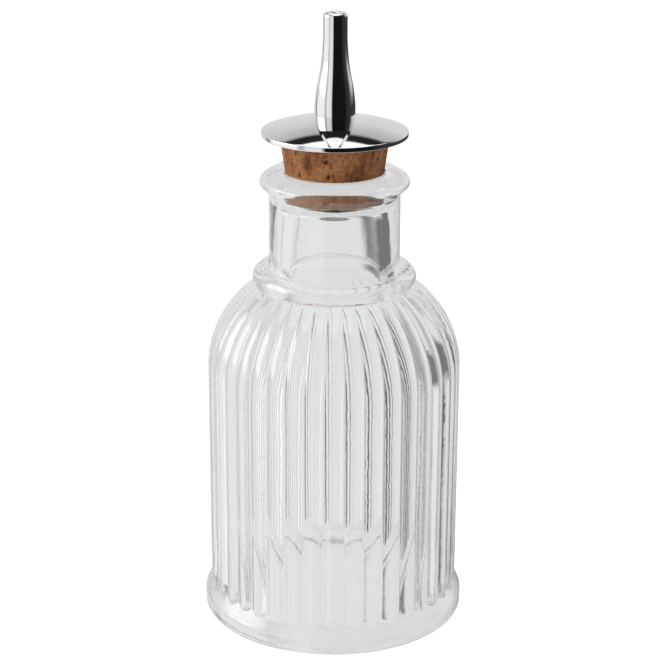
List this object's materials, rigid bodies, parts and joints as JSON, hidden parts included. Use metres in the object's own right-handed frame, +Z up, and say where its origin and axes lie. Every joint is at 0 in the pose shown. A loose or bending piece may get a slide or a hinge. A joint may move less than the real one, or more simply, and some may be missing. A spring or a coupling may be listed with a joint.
{
  "type": "bitters bottle",
  "caption": "Ribbed clear glass dash bottle with a collar, thick lip and a cork dasher stopper that has a chrome cover plate and a tapered spout.",
  "frame": {"origin": "centre of the foot's underside, on the surface that the bottle stands on", "axes": "+Z up along the bottle's own axis; a rib crest faces the front, -Y"},
  "size_m": [0.068, 0.068, 0.1577],
  "materials": {
    "clear_glass": "fire-polished moulded glass",
    "natural_cork": "natural bark cork with dark pores",
    "polished_chrome": "mirror-polished plating",
    "stem_steel": "turned and lightly polished",
    "gasket_rubber": "matt moulded rubber"
  },
  "bodies": {
    "bottle": {"bottle": "clear_glass"},
    "stopper": {"cork": "natural_cork", "plate_gasket": "gasket_rubber", "cover_plate": "polished_chrome", "spout": "polished_chrome", "stem_tube": "stem_steel", "cup_washer": "stem_steel", "baffle_disc": "stem_steel", "end_screw": "stem_steel"}
  },
  "joints": [
    {"name": "stopper_pull", "type": "slide", "parent": "bottle", "child": "stopper", "axis": [0, 0, 1], "range_m": [0, 0.04]}
  ]
}
